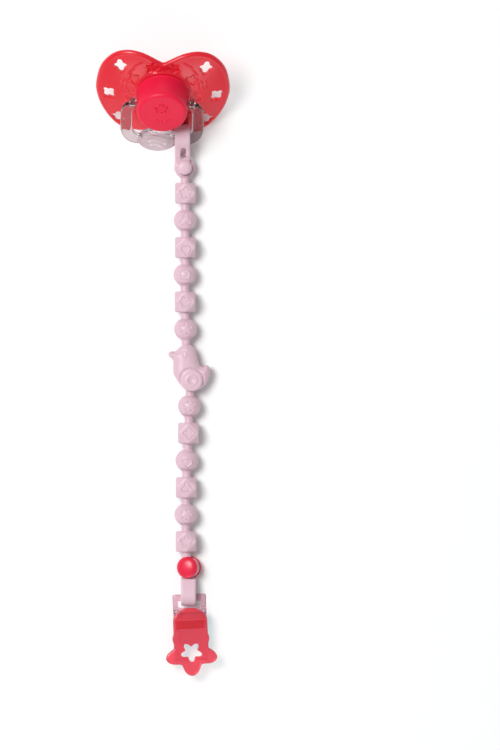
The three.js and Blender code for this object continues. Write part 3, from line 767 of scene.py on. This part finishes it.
def make_loop():
    band = ribbon("loop_skin", LOOP_ROUTE, LOOP_WIDTH, LOOP_X)
    end = moved(band_end("end", LOOP_WIDTH / 2, 48), TAB_X, TAB_Y, LOOP_END_HEIGHT)
    loop = moulded(joined("loop_skin", [band, end]), 0.22, 3)
    hole = turned_blank("hole", [(HOLE_RADIUS, -2), (HOLE_RADIUS, 2)], 40)
    cut_away(loop, [moved(hole, TAB_X, TAB_Y, LOOP_END_HEIGHT)])
    cut_away(loop, [moved(flat_blank("slot", KEYHOLE, 6, 14), LOOP_X + 0.3, KEYHOLE_Y)])
    return moulded(loop, 0.22, 3)


def make_tab():
    return moulded(moved(turned_blank("tab_skin", TAB_PROFILE, 64), TAB_X, TAB_Y), 0.2, 3)


fitted(make_loop(), table_place, "top_loop", "strap_silicone", strap_silicone, "loop_band")
fitted(make_tab(), table_place, "top_loop", "strap_silicone", strap_silicone, "loop_tab")

# ---- Beads ----
# Round and faceted beads moulded in one with the strap, each with a small raised shape on its
# upper side: stars at the ends of the rows and plain figures between them.

NECK_NAMES = [f"neck_{number:02d}" for number in range(1, 15)]
necks = [Vector(joints[name]["pos_m"]) / MM for name in NECK_NAMES]
LINKS = ["top_loop"] + [f"link_{number:02d}" for number in range(1, 14)] + ["strap_end"]
BIRD_LINK = 6
BEAD_NODES = [f"bead_{number:02d}" for number in range(1, 13)]
BEAD_NODES.insert(BIRD_LINK, "bird_bead")
HALF_PITCH = 6.1
ROUND_RADIUS = 5.1
FACET_HALF, FACET_CUT, FACET_EDGE = 4.65, 0.93, 0.7
FIGURE_SIZE, FIGURE_HEIGHT, FIGURE_LINE = 2.3, 0.34, 0.26


def star_figure(angle):
    return 1 + 0.24 * math.cos(5 * (angle - math.pi / 2))


def clover_figure(angle):
    return 0.88 + 0.3 * math.cos(3 * (angle - math.pi / 2))


def heart_figure(angle):
    lobe = math.sin(angle) * math.sqrt(abs(math.cos(angle))) / (math.sin(angle) + 1.4)
    return 0.42 * (2 - 2 * math.sin(angle) + lobe)


def flower_figure(angle):
    return 0.95 + 0.17 * math.cos(6 * angle)


def ring_figure(angle):
    return 0.9


def diamond_figure(angle):
    return 0.95 + 0.2 * math.cos(4 * angle)


# shape and figure of each bead, from the loop to the snap; the bird takes the seventh place
BEADS = [
    ("facet", star_figure), ("round", clover_figure), ("facet", heart_figure), ("round", ring_figure),
    ("facet", flower_figure), ("round", star_figure), None, ("round", star_figure),
    ("facet", diamond_figure), ("round", heart_figure), ("facet", clover_figure),
    ("round", flower_figure), ("facet", star_figure),
]


def figure_relief(figure):
    """The raised outline of a figure that is given by its radius at each angle."""
    def height_at(x, y):
        outline = FIGURE_SIZE * figure(math.atan2(y, x))
        return FIGURE_HEIGHT * swell(math.hypot(x, y) - outline, FIGURE_LINE)
    return height_at


def make_bead(name, shape, figure):
    bpy.ops.object.select_all(action="DESELECT")
    if shape == "round":
        bpy.ops.mesh.primitive_ico_sphere_add(subdivisions=6, radius=ROUND_RADIUS)
        bead = bpy.context.object
        bead.data.transform(Matrix.Diagonal((1, 0.985, 0.97, 1)))
    else:
        bpy.ops.mesh.primitive_cube_add(size=2 * FACET_HALF)
        bead = bpy.context.object
        bpy.ops.object.mode_set(mode="EDIT")
        bpy.ops.mesh.select_all(action="SELECT")
        bpy.ops.mesh.bevel(affect="VERTICES", offset=FACET_HALF * FACET_CUT, segments=1)
        bpy.ops.object.mode_set(mode="OBJECT")
        rounding = bead.modifiers.new("rounding", "BEVEL")
        rounding.width = FACET_EDGE
        rounding.segments = 3
        bpy.ops.object.modifier_apply(modifier="rounding")
        moulded(bead, 0.22, 4)
    bead.name = name
    finer_top(bead, 3.6, 0.6)
    return raised(bead, figure_relief(figure), 0.55)


for index, kind in enumerate(BEADS):
    if kind is None:
        continue
    node = BEAD_NODES[index]
    bead_low, bead_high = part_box(node)
    middle_x = (bead_low[0] + bead_high[0]) / 2
    middle = Vector((middle_x / MM, necks[index + 1].y + HALF_PITCH, STRAND_HEIGHT))
    bead = make_bead(node.replace("bead_", "bead_skin_"), *kind)
    bead_place = Matrix.Translation(middle * MM)
    fitted(bead, bead_place, LINKS[index + 1], "strap_silicone", strap_silicone, node)

# ---- Bird ----
# A flat toy bird in side view, moulded in the same silicone between two beads, with a pressed eye
# and brow and a raised wheel with a dimpled hub.

BIRD_MIDDLE = Vector((12.0, -122.0))
BIRD_OUTLINE = [
    (-1.1, 10.6), (-3.0, 9.7), (-4.8, 8.2), (-6.2, 7.0), (-8.0, 7.1), (-9.2, 6.2), (-8.8, 4.6),
    (-7.3, 3.6), (-7.0, 1.6), (-7.0, -2.4), (-5.6, -5.4), (-3.4, -8.2), (1.2, -10.6), (3.8, -10.4),
    (6.8, -8.5), (8.8, -5.4), (9.7, -1.6), (8.4, 0.9), (5.8, 0.1), (4.3, 2.4), (3.6, 5.6), (2.0, 9.0),
]
BIRD_HALF_THICKNESS = 4.3
PILLOW = 5.0                   # how far in from its outline the bird is rounded over
EYE_X, EYE_Y, BROW_Y = -2.1, 5.6, 5.3
WHEEL = Vector((13.3, -127.9)) - BIRD_MIDDLE
WHEEL_PROFILE = [(4.2, -4.4), (4.8, -4.1), (5.0, -3.5), (5.0, 3.5), (4.8, 4.1), (4.2, 4.4)]


def bird_relief(x, y):
    """The eye's ring, the brow over it, the wheel's hub, and the groove round the wheel."""
    eye = math.hypot((x - EYE_X) / 0.85, (y - EYE_Y) / 1.25)
    height = 0.26 * swell(eye - 1, 0.3)
    if y > 6.0:
        brow = math.hypot(x - EYE_X, y - BROW_Y)
        height += 0.2 * swell(brow - 2.7, 0.28) * math.exp(-((x - EYE_X) / 1.5) ** 4)
    from_hub = math.hypot(x - WHEEL.x, y - WHEEL.y)
    height += 0.3 * swell(from_hub - 2.1, 0.55) - 0.35 * swell(from_hub, 1.1)
    return height - 0.5 * swell(from_hub - 5.4, 0.35)


def make_bird():
    outline = smooth_loop(BIRD_OUTLINE, 8)
    blank = flat_blank("bird_skin", outline, -BIRD_HALF_THICKNESS, BIRD_HALF_THICKNESS, edge=1.0)
    body = moulded(blank, 0.3, 6)
    from_edge = edge_distance(outline)
    for vertex in body.data.vertices:
        inward = 1 - min(from_edge(vertex.co.x, vertex.co.y) / PILLOW, 1)
        vertex.co.z *= 0.2 + 0.8 * math.sqrt(1 - inward * inward)
    wheel = moved(turned_blank("wheel", WHEEL_PROFILE, 56), WHEEL.x, WHEEL.y)
    bird = moulded(joined("bird_skin", [body, wheel]), 0.2, 4)
    return raised(bird, bird_relief, 0.6)


bird_middle = Vector((BIRD_MIDDLE.x, BIRD_MIDDLE.y, STRAND_HEIGHT))
bird_place = table_place @ Matrix.Translation(bird_middle * MM)
fitted(make_bird(), bird_place, LINKS[BIRD_LINK + 1], "strap_silicone", strap_silicone, "bird_bead")

# ---- Necks ----
# The thin round stretches of silicone that join the beads. They are what bends, so each one is in
# two halves, one to a link, and their round ends turn in each other on the joint.

NECK_RADIUS = 1.9
NECK_REACHES = [(1.9, 2.2)] + [(2.4, 2.4)] * 12 + [(2.4, 1.8)]
NECK_STRAIGHT, NECK_FLARE = 0.8, 0.6
END_STEPS, FLARE_STEPS = 8, 12


def make_neck_half(name, reach, turn):
    """Half a waisted bar: a round end on the joint, and a flare into its own link."""
    profile = []
    for i in range(1, END_STEPS):
        angle = math.pi / 2 * i / END_STEPS
        profile.append((NECK_RADIUS * math.sin(angle), -NECK_RADIUS * math.cos(angle)))
    for i in range(FLARE_STEPS + 1):
        along = reach * i / FLARE_STEPS
        flare = NECK_FLARE * max(along - NECK_STRAIGHT, 0) ** 2
        profile.append((NECK_RADIUS + flare, along))
    blank = turned_blank(name, profile, 40)
    blank.data.transform(Matrix.Rotation(turn, 4, "X"))
    return blank


for index, neck in enumerate(necks):
    turns = (-math.pi / 2, math.pi / 2)
    for side, reach, turn, link in zip(("upper", "lower"), NECK_REACHES[index], turns, LINKS[index:]):
        half = make_neck_half(f"neck_skin_{index + 1:02d}_{side}", reach, turn)
        fitted(half, Matrix.Translation(neck * MM), link, "strap_silicone", strap_silicone)

# ---- Strap end and snap ----
# The strap's lower end folds round the clip's bar, and a press snap of glossy red plastic closes
# the fold. The snap lies tipped, its head over to the left.

snap_red = moulded_finish("snap_red", (0.84, 0.016, 0.065), (0.78, 0.012, 0.05), 0.28, 0.06, 500, 0.015,
                          Transmission_Weight=0.1, IOR=1.5)
SNAP = Vector((12.1, -211.9))
SNAP_TILT = math.radians(-20)
LAYER_LOW, LAYER_HIGH = 3.4, 5.3
layer_middle = (LAYER_LOW + LAYER_HIGH) / 2
snap_turn = (Matrix.Translation((SNAP.x, SNAP.y, layer_middle)) @ Matrix.Rotation(SNAP_TILT, 4, "Y")
             @ Matrix.Translation((0, 0, -layer_middle)))
CLIP_X, CLIP_Y = 12.2, -225.4
CLIP_BAR_HEIGHT = 3.9
END_X, END_WIDTH = 11.8, 6.8
END_REACH = 3.0                # from the bar's middle to the middle of the band round it
END_CORNER = END_REACH * math.sqrt(0.5)
END_ROUTE = [
    (SNAP.y - 5.3, LAYER_HIGH), (CLIP_Y + 4.6, 6.2), (CLIP_Y + 2.0, CLIP_BAR_HEIGHT + 2.8),
    (CLIP_Y, CLIP_BAR_HEIGHT + END_REACH), (CLIP_Y - END_CORNER, CLIP_BAR_HEIGHT + END_CORNER),
    (CLIP_Y - END_REACH, CLIP_BAR_HEIGHT), (CLIP_Y - END_CORNER, CLIP_BAR_HEIGHT - END_CORNER),
    (CLIP_Y, CLIP_BAR_HEIGHT - END_REACH), (CLIP_Y + 2.2, CLIP_BAR_HEIGHT - 2.8),
    (CLIP_Y + 6.0, 2.3), (SNAP.y - 4.5, LAYER_LOW),
]


def layer_disc(name, height):
    """One of the strap end's two round layers, tipped with the snap that goes through it."""
    disc = moved(band_end(name, 4.5, 56), 0, 0, height)
    cut_away(disc, [turned_blank("hole", [(HOLE_RADIUS, -9), (HOLE_RADIUS, 19)], 32)])
    disc.data.transform(snap_turn)
    return disc


end_upper = moulded(layer_disc("end_upper", LAYER_HIGH), 0.22, 2)
strip = ribbon("end_strip", END_ROUTE, END_WIDTH, END_X)
end_strip = moulded(joined("end_strip", [strip, layer_disc("end_lower", LAYER_LOW)]), 0.22, 2)
fitted(end_upper, table_place, "strap_end", "strap_silicone", strap_silicone, "end_tab")
fitted(end_strip, table_place, "strap_end", "strap_silicone", strap_silicone, "end_band")

SNAP_GAP = 0.3                 # between the silicone and the snap's two halves
cap_base = LAYER_HIGH + BAND_THICKNESS / 2 + SNAP_GAP
cap_profile = [(4.5, cap_base), (4.8, cap_base + 0.1), (4.9, cap_base + 0.35), (4.88, cap_base + 0.7),
               (4.7, cap_base + 1.2), (4.2, cap_base + 1.75), (3.4, cap_base + 2.15),
               (2.4, cap_base + 2.42), (1.3, cap_base + 2.57), (0.3, cap_base + 2.6)]
cap = turned_blank("snap_head", cap_profile, 72)
cap.data.transform(snap_turn)
fitted(cap, table_place, "strap_end", "snap_red", snap_red, "snap_cap")

stud_top = LAYER_LOW - BAND_THICKNESS / 2 - SNAP_GAP
stud_profile = [(4.5, stud_top - 0.9), (4.85, stud_top - 0.7), (4.9, stud_top - 0.3), (4.7, stud_top),
                (1.6, stud_top), (1.5, stud_top + 0.2), (1.5, cap_base - 0.3), (0.3, cap_base - 0.3)]
stud = turned_blank("snap_foot", stud_profile, 64)
stud.data.transform(snap_turn)
fitted(stud, table_place, "strap_end", "snap_red", snap_red, "snap_stud")

# ---- Clip base ----
# A plate of clear pink plastic. Its head is a frame whose bar the strap goes round; two ears carry
# the lever's pin, and ridges across the jaw bite into the cloth.

# The clip base goes over to (0.42, 0.10, 0.18) where it turns away from the view: painted shade at its
# edges.
clear_pink = lamp_share(painted_edge_shade(
    moulded_finish("clear_pink", (0.80, 0.51, 0.58), (0.77, 0.47, 0.54), 0.06, 0.06, 300, 0.04,
                   Transmission_Weight=0.95, IOR=1.5), (0.42, 0.10, 0.18)), (0.76, 0.82, 0.82))
clip_place = (table_place @ Matrix.Translation((CLIP_X * MM, CLIP_Y * MM, 0))
              @ Matrix.Rotation(math.radians(2.3), 4, "Z"))
JAW_END = -28.2
CLIP_HALF = 7.55
FRAME_FROM, FRAME_TO, FRAME_LOW, FRAME_HIGH = -4.45, 1.55, 2.95, 4.85
SLOT_HALF, SLOT_TO = 5.1, -1.55
JAW_FROM, JAW_LOW, JAW_HIGH = -3.9, 1.6, 4.0
HINGE_Y, HINGE_Z = -7.2, 7.0
EAR_FROM, EAR_TO, EAR_HALF, EAR_OVER = 4.3, 5.9, 1.3, 1.0
FOOT_X, FOOT_HALF, FOOT_FROM, FOOT_TO, FOOT_HIGH = 6, 0.7, -5.5, -19.6, 1.8
TEETH = [-13.2 - 2.4 * i for i in range(3)]
TOOTH_HEIGHT, TOOTH_HALF, TOOTH_ROOT = 0.8, 0.9, 0.2
STAR_Y = -24.4
STAR_SQUASH = 0.9
STAR_TURN = -math.pi / 2
HOLE_TIP, HOLE_VALLEY = 4.9, 2.8


def rounded_box(name, low, high, edge):
    """A block between two corners, its edges rounded."""
    bpy.ops.object.select_all(action="DESELECT")
    bpy.ops.mesh.primitive_cube_add(size=1)
    box = bpy.context.object
    box.name = name
    middle = [(a + b) / 2 for a, b in zip(low, high)]
    size = [b - a for a, b in zip(low, high)]
    box.data.transform(Matrix.Translation(middle) @ Matrix.Diagonal((*size, 1)))
    if edge:
        rounding = box.modifiers.new("rounding", "BEVEL")
        rounding.width = edge
        rounding.segments = 3
        bpy.ops.object.modifier_apply(modifier="rounding")
    return box


def cross_box(name, half, y_low, y_high, low, high, edge=0.0):
    """A block that lies square across the clip."""
    return rounded_box(name, (-half, y_low, low), (half, y_high, high), edge)


def arch_outline(half, top, bottom, crown):
    """A strip with an arched top end."""
    right = [(half, bottom)] + arc_points((half, top - crown), (half, top - crown * 0.4),
                                          (half * 0.55, top), (0, top), 10)
    return right + [(-x, y) for x, y in reversed(right[:-1])]


def squashed(points):
    """Moves a star's outline to the lever's star and flattens it a little."""
    return [(x, y * STAR_SQUASH + STAR_Y) for x, y in points]


def star_hole(margin):
    outline = star_outline(5, HOLE_TIP + margin, HOLE_VALLEY + margin, STAR_TURN)
    return flat_blank("hole", squashed(outline), 0, 12)


def ridge(name, y, base, tip):
    """One tooth across the jaw, from base up to tip."""
    bpy.ops.object.select_all(action="DESELECT")
    bpy.ops.mesh.primitive_cylinder_add(vertices=3, radius=1, depth=10)
    tooth = bpy.context.object
    tooth.name = name
    root = base - TOOTH_ROOT
    corners = {0: (y, tip), 1: (y - TOOTH_HALF, root), 2: (y + TOOTH_HALF, root)}
    angles = sorted({round(math.atan2(v.co.x, v.co.y), 3) for v in tooth.data.vertices})
    for vertex in tooth.data.vertices:
        corner = corners[angles.index(round(math.atan2(vertex.co.x, vertex.co.y), 3))]
        vertex.co = (vertex.co.z, *corner)
    return tooth


def make_clip_base():
    frame_block = cross_box("frame", CLIP_HALF, FRAME_FROM, FRAME_TO, FRAME_LOW, FRAME_HIGH, 0.9)
    cut_away(frame_block, [cross_box("slot", SLOT_HALF, FRAME_FROM - 0.6, SLOT_TO, 0, 9)])
    plate = cross_box("jaw", CLIP_HALF, JAW_END, JAW_FROM, JAW_LOW, JAW_HIGH, 0.7)
    cut_away(plate, [cross_box("slot", SLOT_HALF, FRAME_FROM, SLOT_TO, 0, 9)])
    cut_away(plate, [star_hole(0.3)])
    parts = [frame_block, plate]
    for side in (-1, 1):
        near, far = sorted((side * EAR_FROM, side * EAR_TO))
        parts.append(rounded_box("ear", (near, HINGE_Y - EAR_HALF, JAW_HIGH - 0.5),
                                 (far, HINGE_Y + EAR_HALF, HINGE_Z + EAR_OVER), 0.3))
        parts.append(rounded_box("foot", (side * FOOT_X - FOOT_HALF, FOOT_TO, 0),
                                 (side * FOOT_X + FOOT_HALF, FOOT_FROM, FOOT_HIGH), 0.3))
    for y in TEETH:
        parts.append(ridge("tooth", y, JAW_HIGH, JAW_HIGH + TOOTH_HEIGHT))
    return moulded(joined("clip_base_skin", parts), 0.2, 2)


fitted(make_clip_base(), clip_place, "clip", "clear_pink", clear_pink, "clip_base")
refinished(clear_pink, "clip_pin")

# ---- Clip lever ----
# The clip's upper jaw, of translucent red plastic: an arched tab over the pin, running into a
# rounded star that is pierced by a smaller one. A ridged block under it presses on the base.

# The lever goes over to (0.58, 0.02, 0.05) where it turns away from the view: painted shade at its edges.
lever_red = lamp_share(painted_edge_shade(
    moulded_finish("lever_red", (0.92, 0.105, 0.155), (0.89, 0.09, 0.135), 0.16, 0.08, 400, 0.03,
                   Transmission_Weight=0.65, IOR=1.49), (0.58, 0.02, 0.05)), (0.52, 0.78, 0.77))
LEVER_LOW, LEVER_HIGH = 6.3, 8.9
TAB_HALF, TAB_TOP, TAB_CROWN = 7.8, -4.5, 6.5
LEVER_TIP, LEVER_VALLEY = 12.0, 7.6
PRESS_LOW, PRESS_HIGH = 5.4, 6.6
PRESS_HALF, PRESS_FROM, PRESS_TO = 5, -12.8, -19.8
BAR_HALF, BAR_FROM, BAR_TO = 6.3, -10.1, -14.1
POCKET_ROOM, POCKET_FROM = 0.3, -3.5
CREASE_Y = -27.9


def lever_thickness_and_crease_shade(x, y):
    """Thickest over the bar and thick over the hinge, with painted shade in the crease below the star hole.
    """
    x = abs(x)
    bar_middle, bar_reach = (BAR_FROM + BAR_TO) / 2, (BAR_FROM - BAR_TO) / 2 + 0.1
    over_bar = ramp(BAR_HALF + 0.3 - x, 0.3) * ramp(bar_reach - abs(y - bar_middle), 0.3)
    over_hinge = 0.35 * ramp(7.0 - x, 0.5) * ramp(y + 12, 0.5)
    # painted shade along the crease
    crease = 0.4 * swell(y - CREASE_Y, 0.22) * ramp(7.6 - x, 0.4)
    return min(over_bar + over_hinge * (1 - over_bar) + crease, 1)


def make_lever():
    tab = arch_outline(TAB_HALF, TAB_TOP, STAR_Y, TAB_CROWN)
    tab = flat_blank("tab", tab, LEVER_LOW, LEVER_HIGH, edge=0.6)
    star = star_outline(5, LEVER_TIP, LEVER_VALLEY, STAR_TURN, 0.75)
    star = flat_blank("star", squashed(star), LEVER_LOW, LEVER_HIGH, edge=0.8)
    block = cross_box("press", PRESS_HALF, PRESS_TO, PRESS_FROM, PRESS_LOW, PRESS_HIGH, 0.2)
    bar = cross_box("press_bar", BAR_HALF, BAR_TO, BAR_FROM, PRESS_LOW, PRESS_HIGH, 0.2)
    lever = moulded(joined("lever_skin", [tab, star, block, bar]), 0.24, 3)
    tools = [star_hole(0)]
    for side in (-1, 1):
        near, far = sorted((side * (EAR_FROM - POCKET_ROOM), side * (EAR_TO + POCKET_ROOM)))
        tools.append(rounded_box("pocket", (near, HINGE_Y - EAR_HALF - POCKET_ROOM, 0),
                                 (far, POCKET_FROM, HINGE_Z + EAR_OVER + 0.5), 0))
    for tool in tools:
        cut_away(lever, [tool])
    return mark_depth(moulded(lever, 0.22, 3), lever_thickness_and_crease_shade)


# The lever's deeper colour, where its plastic is thick over the bar and hinge, and as painted shade along
# the crease.
deepened(lever_red, (0.80, 0.032, 0.055))
fitted(make_lever(), clip_place, "lever", "lever_red", lever_red, "clip_lever")
